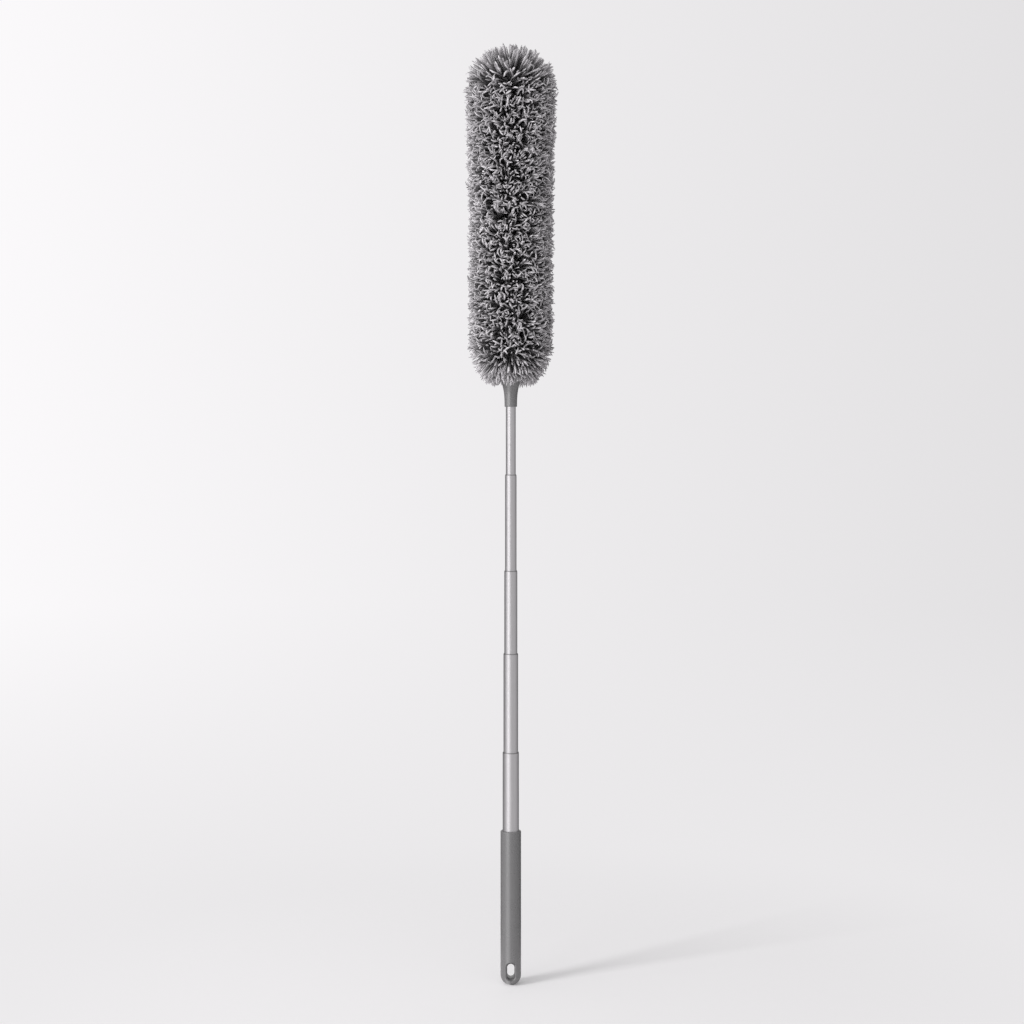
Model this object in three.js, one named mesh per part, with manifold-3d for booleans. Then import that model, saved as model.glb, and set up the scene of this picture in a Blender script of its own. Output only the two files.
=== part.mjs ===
// Extendable duster: a telescopic steel pole in a moulded grip, with a washable microfibre head.
// Millimetres, +Z up the pole, origin at the centre of the grip's butt face.
// The hanging slot runs through the grip along Y.

import * as THREE from "three";
import { mergeVertices } from "three/addons/utils/BufferGeometryUtils.js";
import Module from "manifold-3d";

const wasm = await Module();
wasm.setup();

// Clearances
const SEAT_GAP = 0.1; // radial gap of pressed seats
const RUN_GAP = 0.12; // radial gap of pieces that slide or turn
const END_GAP = 0.3; // gap along the pole, and round soft pieces

// Telescopic tubes, drawn from steel sheet
const OUTER_TUBE_DIAMETER = 19;
const TUBE_WALL = 0.4;
const TUBE_SPACING = 0.525; // radial room between one tube and the next, filled by friction shells
const OUTER_TUBE_SHOWN = 91.5; // length that shows at rest
const SECOND_TUBE_SHOWN = 115;
const THIRD_TUBE_SHOWN = 96.5;
const FOURTH_TUBE_SHOWN = 112;
const TIP_TUBE_SHOWN = 79;
const CLOSED_STUB = 6; // how far each tube stands out of the next when the pole is closed
const MOUTH_HEIGHT = 3.4; // rolled-in mouth that keeps the inner tube
const MOUTH_GAP = 0.16;
const FLARE_HEIGHT = 1.4; // flared foot that keeps the friction shells
const BEAD_HEIGHT = 1.6; // rolled bead above the friction shells

// Friction shells: two bowed brass half rings for each sliding tube
const SHELL_LENGTH = 20;
const SHELL_WALL = 0.2;
const SHELL_SPLIT = 1.2; // slit between the two half rings
const SHELL_END_GAP = 0.15;

// Plug in the foot of the outer tube, where the closed tubes land
const PLUG_FLANGE = 2;
const PLUG_LENGTH = 10;

// Grip
const GRIP_LENGTH = 179;
const GRIP_WALL = 2.4;
const GRIP_RIM_ROUND = 1.2;
const BUTT_FLAT_DIAMETER = 7.6;
const SLOT_WIDTH = 8.4;
const SLOT_HEIGHT = 18.6;
const SLOT_ABOVE_BUTT = 7.2;
const SLOT_EASE = 2.6; // how far the eased mouths of the slot spread at the grip's surface
const SLOT_EASE_DEPTH = 3.6;
const SLOT_WEB = 9; // solid web between the slot and the pole's socket

// Neck: a moulded trumpet that joins the pole to the head
const NECK_FOOT_WALL = 1.5;
const NECK_SOCKET_DEPTH = 24;
const NECK_WEB = 3.7; // between the tube's socket and the spine's pocket
const NECK_CUP_TAPER = 6; // height over which the foam's cup widens with the flare
const NECK_CUP_WALL = 2;
const NECK_FLARE_PULL = 29; // height at which the flare turns outward
const NECK_COLLAR_HEIGHT = 12;

// Core of the head
const CORE_DIAMETER = 36.4;
const FOAM_LENGTH = 313.5; // above the neck
const SPINE_WIDTH = 14;
const SPINE_THICKNESS = 3;
const SPINE_CORNER = 4;
const SPINE_IN_NECK = 10;
const SPINE_IN_CAP = 10;

// Microfibre cover: knitted backing, hem with its elastic, and the pile
const BACKING_WALL = 1.5;
const HEM_WALL = 1.3; // cloth outside the elastic
const HEM_TURN = 1.2; // cloth above and below the elastic
const HEM_BELOW_COLLAR_TOP = 9;
const ELASTIC_WIDTH = 4;
const ELASTIC_THICKNESS = 1.1;
const STRAND_COUNT = 360;
const STRAND_CROWDING = 0.4; // how much closer the strands stand at the hem and the crown
const STRAND_SIDES = 3;
const STRAND_ROOT_RADIUS = 3.6;
const STRAND_TIP_RADIUS = 2.6;
const STRAND_ROOT_DEPTH = 1;
const PILE_AT_HEM = 24; // strand lengths
const PILE_ABOVE_SKIRT = 29.5;
const PILE_AT_CROWN = 35;
const PILE_SWELL = 3; // power of the swell from the skirt to the crown, which keeps it near the crown
const SKIRT_HEIGHT = 22; // lowest stretch of pile, which hangs down over the neck
const SKIRT_DROOP = THREE.MathUtils.degToRad(75);

const SIDES = 24; // facets round the pole
const BACKING_SIDES = 12; // facets round the outside of the cover's backing
const ROUND_STEPS = 5; // facets along a quarter round
const ROLL_STEPS = 3; // facets along a small roll or rounded edge
const OVERCUT = 1; // how far a cutter runs past the face that it opens
const MOUTH_RUN = 2; // an eased mouth's slope goes on past the grip's surface, to this multiple of its depth
const GOLDEN_ANGLE = Math.PI * (3 - Math.sqrt(5));

// Finishes
const finishes = {
  plastic: { color: 0x757376, roughness: 0.6, metalness: 0 },
  steel: { color: 0xb9b8ba, roughness: 0.28, metalness: 1 },
  brass: { color: 0xb08d4a, roughness: 0.4, metalness: 1 },
  spine: { color: 0x3c3c40, roughness: 0.6, metalness: 0 },
  foam: { color: 0x4a4a4e, roughness: 0.95, metalness: 0 },
  pile: { color: 0x8c8a8c, roughness: 0.95, metalness: 0 },
  elastic: { color: 0x2e2e31, roughness: 0.8, metalness: 0 },
};

function piece(name, geometry, finish) {
  const mesh = new THREE.Mesh(geometry, new THREE.MeshStandardMaterial(finishes[finish]));
  mesh.name = name;
  return mesh;
}

// Joins and cuts
function solidOf(geometry) {
  const bare = geometry.index ? geometry.clone() : geometry;
  bare.deleteAttribute("normal");
  bare.deleteAttribute("uv");
  const merged = mergeVertices(bare, 1e-4);
  const vertProperties = new Float32Array(merged.attributes.position.array);
  const triVerts = new Uint32Array(merged.index.array);
  return new wasm.Manifold(new wasm.Mesh({ numProp: 3, vertProperties, triVerts }));
}

function geometryOf(solid) {
  const mesh = solid.getMesh();
  const geometry = new THREE.BufferGeometry();
  geometry.setAttribute("position", new THREE.BufferAttribute(mesh.vertProperties, 3));
  geometry.setIndex(new THREE.BufferAttribute(mesh.triVerts, 1));
  return geometry;
}

// Profiles are [radius, height] pairs that run up the outside
function turned(profile, sides = SIDES) {
  const points = profile.map(([radius, height]) => new THREE.Vector2(radius, height));
  return new THREE.LatheGeometry(points, sides).rotateX(Math.PI / 2);
}

function ring(innerRadius, outerRadius, bottom, top) {
  return turned([
    [innerRadius, bottom],
    [outerRadius, bottom],
    [outerRadius, top],
    [innerRadius, top],
    [innerRadius, bottom],
  ]);
}

function arc(centreRadius, centreHeight, radius, from, to, steps) {
  return Array.from({ length: steps + 1 }, (_, step) => {
    const angle = from + ((to - from) * step) / steps;
    return [centreRadius + radius * Math.cos(angle), centreHeight + radius * Math.sin(angle)];
  });
}

function box(width, depth, height, bottom) {
  return new THREE.BoxGeometry(width, depth, height).translate(0, 0, bottom + height / 2);
}

// The pole's layout, from the grip's socket up
const tubeStep = TUBE_WALL + TUBE_SPACING;
const socketFloor = SLOT_ABOVE_BUTT + SLOT_HEIGHT + SLOT_WEB;
const plugBottom = socketFloor + END_GAP;
const outerTubeBottom = plugBottom + PLUG_FLANGE + END_GAP;
const outerTubeTop = GRIP_LENGTH + OUTER_TUBE_SHOWN;
const closedBottom = outerTubeBottom + PLUG_LENGTH + END_GAP;
const shellsBottom = FLARE_HEIGHT + SHELL_END_GAP;
const beadBottom = shellsBottom + SHELL_LENGTH + SHELL_END_GAP;

const tubes = [
  { name: "outer", shown: OUTER_TUBE_SHOWN },
  { name: "second", shown: SECOND_TUBE_SHOWN },
  { name: "third", shown: THIRD_TUBE_SHOWN },
  { name: "fourth", shown: FOURTH_TUBE_SHOWN },
  { name: "tip", shown: TIP_TUBE_SHOWN },
];
tubes.forEach((tube, index) => {
  const isTip = index === tubes.length - 1;
  tube.radius = OUTER_TUBE_DIAMETER / 2 - index * tubeStep;
  if (index === 0) {
    tube.bottom = outerTubeBottom;
    tube.length = outerTubeTop - outerTubeBottom;
    tube.mouth = outerTubeTop;
  } else {
    const hidden = isTip ? NECK_SOCKET_DEPTH : 0;
    tube.length = outerTubeTop + index * CLOSED_STUB + hidden - closedBottom;
    tube.mouth = tubes[index - 1].mouth + tube.shown;
    tube.bottom = tube.mouth + hidden - tube.length;
  }
});
const tipTube = tubes[tubes.length - 1];

// Grip: turned body with a domed butt, less the eased hanging slot
const gripRadius = OUTER_TUBE_DIAMETER / 2 + SEAT_GAP + GRIP_WALL;
const socketRadius = OUTER_TUBE_DIAMETER / 2 + SEAT_GAP;

function slotOutline() {
  const radius = SLOT_WIDTH / 2;
  const outline = new THREE.Shape();
  outline.absarc(0, SLOT_ABOVE_BUTT + SLOT_HEIGHT - radius, radius, 0, Math.PI);
  outline.absarc(0, SLOT_ABOVE_BUTT + radius, radius, Math.PI, 2 * Math.PI);
  return outline;
}

function grip() {
  const domeCentre = Math.sqrt(gripRadius ** 2 - (BUTT_FLAT_DIAMETER / 2) ** 2);
  const domeStart = -Math.asin(domeCentre / gripRadius);
  const rimCentre = gripRadius - GRIP_RIM_ROUND;
  const body = turned([
    [0, 0],
    ...arc(0, domeCentre, gripRadius, domeStart, 0, 2 * ROUND_STEPS),
    ...arc(rimCentre, GRIP_LENGTH - GRIP_RIM_ROUND, GRIP_RIM_ROUND, 0, Math.PI / 2, ROLL_STEPS),
    [socketRadius, GRIP_LENGTH],
    [socketRadius, socketFloor],
    [0, socketFloor],
  ]);
  const straight = 2 * (gripRadius - SLOT_EASE_DEPTH);
  const slot = new THREE.ExtrudeGeometry(slotOutline(), {
    depth: straight,
    curveSegments: ROUND_STEPS,
    bevelThickness: MOUTH_RUN * SLOT_EASE_DEPTH,
    bevelSize: -MOUTH_RUN * SLOT_EASE,
    bevelOffset: MOUTH_RUN * SLOT_EASE,
    bevelSegments: 1,
  });
  slot.rotateX(Math.PI / 2).translate(0, straight / 2, 0);
  return geometryOf(solidOf(body).subtract(solidOf(slot)));
}

// End plug: a stepped disc in the outer tube's foot
function endPlug() {
  const spigot = OUTER_TUBE_DIAMETER / 2 - TUBE_WALL - SEAT_GAP;
  const flangeTop = PLUG_FLANGE;
  const top = PLUG_FLANGE + END_GAP + PLUG_LENGTH;
  return turned([
    [0, 0],
    [OUTER_TUBE_DIAMETER / 2, 0],
    [OUTER_TUBE_DIAMETER / 2, flangeTop],
    [spigot, flangeTop],
    [spigot, top],
    [0, top],
  ]);
}

// Tube: one skin rolled from sheet, so the inside follows the outside one wall further in
function tubeSkin(index) {
  const { radius, length } = tubes[index];
  const skin = [];
  if (index === 0) {
    skin.push([radius, 0]);
  } else {
    const raised = radius + TUBE_SPACING - 2 * RUN_GAP;
    skin.push([raised, 0], [raised, FLARE_HEIGHT / 2], [radius, FLARE_HEIGHT]);
    skin.push([radius, beadBottom], [raised, beadBottom + BEAD_HEIGHT / 2]);
    skin.push([radius, beadBottom + BEAD_HEIGHT]);
  }
  if (index === tubes.length - 1) {
    skin.push([radius, length]);
  } else {
    const mouthRadius = radius - tubeStep + MOUTH_GAP + TUBE_WALL;
    for (let step = 0; step <= ROLL_STEPS; step += 1) {
      const along = step / ROLL_STEPS;
      const inward = THREE.MathUtils.smoothstep(along, 0, 1);
      skin.push([THREE.MathUtils.lerp(radius, mouthRadius, inward), length - MOUTH_HEIGHT * (1 - along)]);
    }
  }
  return skin;
}

function tube(index) {
  const outside = tubeSkin(index);
  const inside = outside.map(([radius, height]) => [radius - TUBE_WALL, height]).reverse();
  return turned([...outside, ...inside, outside[0]]);
}

// Friction shells: half rings that touch the inner tube at their ends and the outer bore at mid length
function frictionShell(index, side) {
  const endRadius = tubes[index].radius + RUN_GAP;
  const bowedRadius = tubes[index].radius + TUBE_SPACING - RUN_GAP - SHELL_WALL;
  const bow = [
    [endRadius, shellsBottom],
    [bowedRadius, shellsBottom + SHELL_LENGTH / 2],
    [endRadius, shellsBottom + SHELL_LENGTH],
  ];
  const outside = bow.map(([radius, height]) => [radius + SHELL_WALL, height]);
  const whole = solidOf(turned([...outside, ...bow.reverse(), outside[0]]));
  const reach = 2 * OUTER_TUBE_DIAMETER;
  const half = box(reach, reach, SHELL_LENGTH + 2 * OVERCUT, shellsBottom - OVERCUT);
  half.translate(0, (side * (reach + SHELL_SPLIT)) / 2, 0);
  return geometryOf(whole.intersect(solidOf(half)));
}

// Neck: trumpet outside, tube socket below, cup for the foam above
const coreRadius = CORE_DIAMETER / 2;
const neckSocketRadius = tipTube.radius + SEAT_GAP;
const neckSocketTop = NECK_SOCKET_DEPTH + END_GAP;
const spinePocketFloor = neckSocketTop + NECK_WEB;
const cupFloor = spinePocketFloor + SPINE_IN_NECK;
const neckFlareHeight = cupFloor + NECK_CUP_TAPER;
const neckHeight = neckFlareHeight + NECK_COLLAR_HEIGHT;

const neckFlare = new THREE.QuadraticBezierCurve(
  new THREE.Vector2(neckSocketRadius + NECK_FOOT_WALL, 0),
  new THREE.Vector2(neckSocketRadius + NECK_FOOT_WALL, NECK_FLARE_PULL),
  new THREE.Vector2(coreRadius, neckFlareHeight),
);

// The cup's wall keeps its thickness inside the flare, and gap insets the foam that fills the cup
function cupProfile(gap) {
  const shoulder = neckFlare.getPoints(8 * ROUND_STEPS).find((point) => point.y >= cupFloor);
  const inset = NECK_CUP_WALL + gap;
  return [
    [shoulder.x - inset, cupFloor + gap],
    [coreRadius - inset, neckFlareHeight + gap],
    [coreRadius - inset, neckHeight + gap],
  ];
}

function spineHole(bottom, height) {
  return solidOf(box(SPINE_WIDTH + 2 * END_GAP, SPINE_THICKNESS + 2 * END_GAP, height, bottom));
}

function neck() {
  const trumpet = neckFlare.getPoints(2 * ROUND_STEPS).map((point) => [point.x, point.y]);
  const body = turned([
    [neckSocketRadius, 0],
    ...trumpet,
    [coreRadius, neckHeight],
    ...cupProfile(0).reverse(),
    [0, cupFloor],
    [0, neckSocketTop],
    [neckSocketRadius, neckSocketTop],
    [neckSocketRadius, 0],
  ]);
  return geometryOf(solidOf(body).subtract(spineHole(spinePocketFloor, SPINE_IN_NECK + OVERCUT)));
}

// Core: foam in the neck's cup, a flat bendable spine through it, and a domed cap on top
const foamTop = neckHeight + END_GAP + FOAM_LENGTH;
const capBottom = foamTop + END_GAP;
const spineBottom = spinePocketFloor + END_GAP;
const spineTop = capBottom + SPINE_IN_CAP - END_GAP;

function foam() {
  const body = turned([
    [0, cupFloor + END_GAP],
    ...cupProfile(END_GAP),
    [coreRadius, neckHeight + END_GAP],
    [coreRadius, foamTop],
    [0, foamTop],
  ]);
  return geometryOf(solidOf(body).subtract(spineHole(cupFloor, foamTop - cupFloor + OVERCUT)));
}

function spine() {
  const half = SPINE_WIDTH / 2;
  const outline = new THREE.Shape();
  outline.moveTo(-half, spineBottom);
  outline.lineTo(half, spineBottom);
  outline.absarc(half - SPINE_CORNER, spineTop - SPINE_CORNER, SPINE_CORNER, 0, Math.PI / 2);
  outline.absarc(SPINE_CORNER - half, spineTop - SPINE_CORNER, SPINE_CORNER, Math.PI / 2, Math.PI);
  const flat = new THREE.ExtrudeGeometry(outline, {
    depth: SPINE_THICKNESS,
    curveSegments: ROUND_STEPS,
    bevelEnabled: false,
  });
  return flat.rotateX(Math.PI / 2).translate(0, SPINE_THICKNESS / 2, 0);
}

function tipCap() {
  const dome = turned([[0, 0], ...arc(0, 0, coreRadius, 0, Math.PI / 2, ROUND_STEPS + 1)]);
  return geometryOf(solidOf(dome).subtract(spineHole(-OVERCUT, SPINE_IN_CAP + OVERCUT)));
}

// Cover: heights are above the hem's lower edge
const cavityRadius = coreRadius + END_GAP;
const backingRadius = cavityRadius + BACKING_WALL;
const hemBottom = neckHeight - HEM_BELOW_COLLAR_TOP;
const crownCentre = capBottom - hemBottom;
const grooveRadius = cavityRadius + ELASTIC_THICKNESS + 2 * END_GAP;
const grooveTop = HEM_TURN + ELASTIC_WIDTH + 2 * END_GAP;
const hemRadius = grooveRadius + HEM_WALL;
const hemHeight = grooveTop + HEM_TURN;

// Lengths and leans of the pile follow the height of the root along the unrolled backing
function strandLength(height) {
  if (height < SKIRT_HEIGHT) {
    return THREE.MathUtils.mapLinear(height, 0, SKIRT_HEIGHT, PILE_AT_HEM, PILE_ABOVE_SKIRT);
  }
  const rise = (Math.min(height, crownCentre) - SKIRT_HEIGHT) / (crownCentre - SKIRT_HEIGHT);
  return THREE.MathUtils.lerp(PILE_ABOVE_SKIRT, PILE_AT_CROWN, rise ** PILE_SWELL);
}

// Equal steps of height give equal areas on both the tube and the dome of the backing
function strand(number) {
  const share = (number + 0.5) / STRAND_COUNT;
  const crowded = share - (STRAND_CROWDING * Math.sin(2 * Math.PI * share)) / (2 * Math.PI);
  const height = crowded * (crownCentre + backingRadius);
  const onDome = Math.max(0, height - crownCentre) / backingRadius;
  const droop = SKIRT_DROOP * Math.max(0, 1 - height / SKIRT_HEIGHT);
  const rise = Math.asin(onDome) - droop;
  const turn = number * GOLDEN_ANGLE;
  const lean = new THREE.Vector3(
    Math.cos(rise) * Math.cos(turn),
    Math.cos(rise) * Math.sin(turn),
    Math.sin(rise),
  );
  const rootRadius = backingRadius * Math.sqrt(1 - onDome ** 2);
  const root = new THREE.Vector3(rootRadius * Math.cos(turn), rootRadius * Math.sin(turn), 0);
  root.z = Math.min(height, crownCentre) + backingRadius * onDome;
  const length = strandLength(height) + STRAND_ROOT_DEPTH;
  const yarn = new THREE.CylinderGeometry(STRAND_TIP_RADIUS, STRAND_ROOT_RADIUS, length, STRAND_SIDES);
  yarn.translate(0, length / 2 - STRAND_ROOT_DEPTH, 0);
  yarn.applyQuaternion(new THREE.Quaternion().setFromUnitVectors(new THREE.Vector3(0, 1, 0), lean));
  return solidOf(yarn.translate(root.x, root.y, root.z));
}

function cover() {
  const domeArc = arc(0, crownCentre, backingRadius, 0, Math.PI / 2, ROUND_STEPS + 1);
  const hem = [[0, 0], [hemRadius, 0], [hemRadius, hemHeight], [backingRadius, hemHeight]];
  const backing = solidOf(turned([...hem, ...domeArc], BACKING_SIDES));
  const strands = Array.from({ length: STRAND_COUNT }, (_, number) => strand(number));
  const cloth = wasm.Manifold.union([backing, ...strands]);
  const below = -2 * PILE_AT_HEM;
  const cavityArc = arc(0, crownCentre, cavityRadius, 0, Math.PI / 2, ROUND_STEPS + 1);
  const cavity = turned([[0, below], [cavityRadius, below], ...cavityArc]);
  const groove = ring(coreRadius, grooveRadius, HEM_TURN, grooveTop);
  return geometryOf(cloth.subtract(solidOf(cavity)).subtract(solidOf(groove)));
}

function hemElastic() {
  const inner = cavityRadius + END_GAP;
  return ring(inner, inner + ELASTIC_THICKNESS, HEM_TURN + END_GAP, grooveTop - END_GAP);
}

// Assembly: each stage stands in the one before it, so moving a group slides all that it carries
const duster = new THREE.Group();
duster.add(piece("grip", grip(), "plastic"));
const plug = piece("tube_end_plug", endPlug(), "plastic");
plug.position.z = plugBottom;
duster.add(plug);
const outerTube = piece("outer_tube", tube(0), "steel");
outerTube.position.z = outerTubeBottom;
duster.add(outerTube);

let carrier = duster;
let carrierBottom = 0;
for (let index = 1; index < tubes.length; index += 1) {
  const stage = new THREE.Group();
  const { name, bottom } = tubes[index];
  stage.position.z = bottom - carrierBottom;
  stage.add(piece(`${name}_tube`, tube(index), "steel"));
  stage.add(piece(`${name}_shell_front`, frictionShell(index, -1), "brass"));
  stage.add(piece(`${name}_shell_back`, frictionShell(index, 1), "brass"));
  carrier.add(stage);
  carrier = stage;
  carrierBottom = bottom;
}

const head = new THREE.Group();
head.position.z = tipTube.length - NECK_SOCKET_DEPTH;
head.add(piece("neck", neck(), "plastic"));
head.add(piece("core_foam", foam(), "foam"));
head.add(piece("core_spine", spine(), "spine"));
const cap = piece("tip_cap", tipCap(), "spine");
cap.position.z = capBottom;
head.add(cap);
carrier.add(head);

const sleeve = new THREE.Group();
sleeve.position.z = hemBottom;
sleeve.add(piece("microfiber_cover", cover(), "pile"));
sleeve.add(piece("hem_elastic", hemElastic(), "elastic"));
head.add(sleeve);

export default duster;
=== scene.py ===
# %% [markdown]
# # An extendable microfibre duster
# A telescopic steel pole stands in a moulded grip and carries a long round head with a washable
# cover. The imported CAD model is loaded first, as a fixed frame. Every piece below is made in the
# same place, in metres, and rides on one of the frame's bodies, so that the pole can slide and turn.

# %% Load the frame
import math

import bmesh
import bpy
import numpy as np
from mathutils import Matrix, Vector


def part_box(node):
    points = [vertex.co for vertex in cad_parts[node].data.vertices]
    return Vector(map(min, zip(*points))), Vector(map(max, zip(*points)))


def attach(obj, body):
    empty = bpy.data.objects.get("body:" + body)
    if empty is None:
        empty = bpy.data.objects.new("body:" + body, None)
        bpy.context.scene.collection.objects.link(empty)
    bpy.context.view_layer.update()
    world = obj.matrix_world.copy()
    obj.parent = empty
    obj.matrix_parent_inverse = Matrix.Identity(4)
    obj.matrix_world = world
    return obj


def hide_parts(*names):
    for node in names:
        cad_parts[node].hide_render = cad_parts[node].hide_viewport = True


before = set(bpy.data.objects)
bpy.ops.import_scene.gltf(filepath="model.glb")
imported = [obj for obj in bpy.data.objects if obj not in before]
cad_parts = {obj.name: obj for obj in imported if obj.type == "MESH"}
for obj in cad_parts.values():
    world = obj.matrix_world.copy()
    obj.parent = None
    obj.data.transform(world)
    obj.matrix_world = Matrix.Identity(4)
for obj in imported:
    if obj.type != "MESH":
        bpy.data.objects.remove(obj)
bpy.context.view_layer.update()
scene = bpy.context.scene
MM = 0.001

# %% [markdown]
# ## Camera
# The duster is seen from straight ahead, from about two metres, by a level camera that stands a
# little above its middle. A tilted camera would make the pole's edges run together, so the camera
# stays level and the lens is shifted down, as on a view camera, to frame the whole length.

# %% Camera
CAMERA_PLACE = (0.0014, -2.07, 0.635)
LENS_MM = 62.4
LENS_SHIFT = -0.0709

lens = bpy.data.cameras.new("camera_lens")
lens.lens = LENS_MM
lens.shift_y = LENS_SHIFT
camera = bpy.data.objects.new("camera", lens)
camera.location = CAMERA_PLACE
camera.rotation_euler = (math.radians(90), 0, 0)
scene.collection.objects.link(camera)
scene.camera = camera
scene.view_settings.view_transform = "Standard"
print("camera at", CAMERA_PLACE)

# %% [markdown]
# ## Helpers for nodes
# Materials are trees of nodes. One helper adds a node, sets its options and fills its inputs, where
# an input takes either a value or another node's output. Short ones after it do sums on numbers and
# vectors, ramps and changes of range. The last two start a node group, which is an effect that
# several materials share, and place it in a tree.

# %% Adding nodes and sums
def add(tree, kind, inputs=None, **options):
    made = tree.nodes.new("ShaderNode" + kind)
    for option, value in options.items():
        setattr(made, option, value)
    for socket, value in (inputs or {}).items():
        if isinstance(value, bpy.types.NodeSocket):
            tree.links.new(value, made.inputs[socket])
        else:
            made.inputs[socket].default_value = value
    return made


def number(tree, operation, *values):
    return add(tree, "Math", dict(enumerate(values)), operation=operation).outputs[0]


def vector(tree, operation, *values):
    return add(tree, "VectorMath", dict(enumerate(values)), operation=operation).outputs["Vector"]


def measured(tree, operation, *values):
    return add(tree, "VectorMath", dict(enumerate(values)), operation=operation).outputs["Value"]


def parts(tree, value):
    return add(tree, "SeparateXYZ", {0: value}).outputs


print("nodes and sums ready")

# %% Greys, ramps and ranges
def grey(value, green=1.0):
    return (value, value * green, value, 1)


def ramp(tree, share, *stops):
    made = add(tree, "ValToRGB", {"Fac": share})
    elements = made.color_ramp.elements
    while len(elements) < len(stops):
        elements.new(1)
    for element, (position, colour) in zip(elements, stops):
        element.position = position
        element.color = colour
    return made.outputs["Color"]


def between(tree, value, low, high, start=0.3, end=0.7):
    return add(tree, "MapRange", {
        "Value": value, "From Min": start, "From Max": end, "To Min": low, "To Max": high,
    }).outputs["Result"]


def eased(tree, value, start, end, high=1.0):
    return add(tree, "MapRange", {
        "Value": value, "From Min": start, "From Max": end, "To Max": high,
    }, interpolation_type="SMOOTHSTEP").outputs["Result"]


print("ramps and ranges ready")

# %% Node groups
def new_group(name, inputs, outputs):
    group = bpy.data.node_groups.new(name, "ShaderNodeTree")
    for label, (kind, value) in inputs.items():
        socket = group.interface.new_socket(label, in_out="INPUT", socket_type="NodeSocket" + kind)
        socket.default_value = value
    for label, kind in outputs.items():
        group.interface.new_socket(label, in_out="OUTPUT", socket_type="NodeSocket" + kind)
    entry = group.nodes.new("NodeGroupInput").outputs
    leave = group.nodes.new("NodeGroupOutput").inputs
    return group, entry, leave


def place(tree, group, inputs=None):
    return add(tree, "Group", inputs, node_tree=group).outputs


print("node groups ready")

# %% [markdown]
# ## Floor and backdrop
# The duster stands on a pale sweep that is a little lighter on the left, where the light comes from.
# A curved paper sweep would show its edges from other sides. Here the floor is a wide disc that
# keeps its shading and the shadow near the duster. Further out it fades into one even tone, and then
# into the tone that the world shows along the same line of sight, so no horizon is seen from any
# side. The tone is a group that floor and world share. A second group is the grey of the room, which
# lights the duster and shows in its steel.

# %% Tone of the backdrop
TONE_LEFT, TONE_AHEAD, TONE_RIGHT = 0.99, 0.85, 0.745
TONE_EDGE = 0.35
PAPER_GREEN = 0.985

backdrop_tone, entry, leave = new_group(
    "backdrop_tone", {"Direction": ("Vector", (0, 0, 0))}, {"Tone": "Color"}
)
level = vector(backdrop_tone, "MULTIPLY", entry["Direction"], (1, 1, 0))
heading = vector(backdrop_tone, "NORMALIZE", level)
aside = parts(backdrop_tone, heading)["X"]
tone = ramp(
    backdrop_tone,
    between(backdrop_tone, aside, 0, 1, -TONE_EDGE, TONE_EDGE),
    (0.0, grey(TONE_LEFT, PAPER_GREEN)),
    (0.5, grey(TONE_AHEAD, PAPER_GREEN)),
    (1.0, grey(TONE_RIGHT, PAPER_GREEN)),
)
backdrop_tone.links.new(tone, leave["Tone"])
print("backdrop tone from", TONE_LEFT, "to", TONE_RIGHT)

# %% Tone of the room
ROOM_AHEAD, ROOM_ASIDE, ROOM_BEHIND, BACK_GLOW = 0.515, 0.38, 0.14, 0.9

room_tone, entry, leave = new_group(
    "room_tone", {"Direction": ("Vector", (0, 0, 0))}, {"Tone": "Color"}
)
towards = vector(room_tone, "NORMALIZE", entry["Direction"])
behind = parts(room_tone, towards)["Y"]
tone = ramp(
    room_tone,
    between(room_tone, behind, 0, 1, -1, 1),
    (0.30, grey(ROOM_AHEAD)),
    (0.60, grey(ROOM_ASIDE)),
    (0.85, grey(ROOM_BEHIND)),
    (0.94, grey(ROOM_BEHIND)),
    (1.0, grey(BACK_GLOW)),
)
room_tone.links.new(tone, leave["Tone"])
print("room from", ROOM_AHEAD, "ahead to", ROOM_BEHIND, "behind")

# %% [markdown]
# The floor's paint is built in four steps. Near the duster it is plain matt paint, which all but
# mirror rays see a little lifted. Far off it glows in the tones above. A fade joins the two for the
# rays that show the floor, and rays that only carry light keep the matt paint everywhere. Mirror
# rays also see a painted reflection of the tall soft box, which glows in the matt floor for them.

# %% Floor paint near the duster
FLOOR_GREY = 0.92
FLOOR_LIFT = 0.17

floor_paint = bpy.data.materials.new("floor_paint")
floor_paint.use_nodes = True
tree = floor_paint.node_tree
tree.nodes.clear()
spot = add(tree, "TexCoord").outputs["Object"]
rays = add(tree, "LightPath").outputs
matt = add(tree, "BsdfDiffuse", {"Color": grey(FLOOR_GREY, PAPER_GREEN)}).outputs[0]
lifted = between(tree, rays["Is Glossy Ray"], FLOOR_LIFT, 0, 0, 1)
lift = add(tree, "Emission", {"Color": grey(1, PAPER_GREEN), "Strength": lifted}).outputs[0]
near_floor = add(tree, "AddShader", {0: matt, 1: lift}).outputs[0]
print("matt floor lifted by", FLOOR_LIFT)

# %% Floor paint far off
FLOOR_TONE = 0.82
TONE_NEAR, TONE_FAR = 2.6, 7.0

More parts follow.
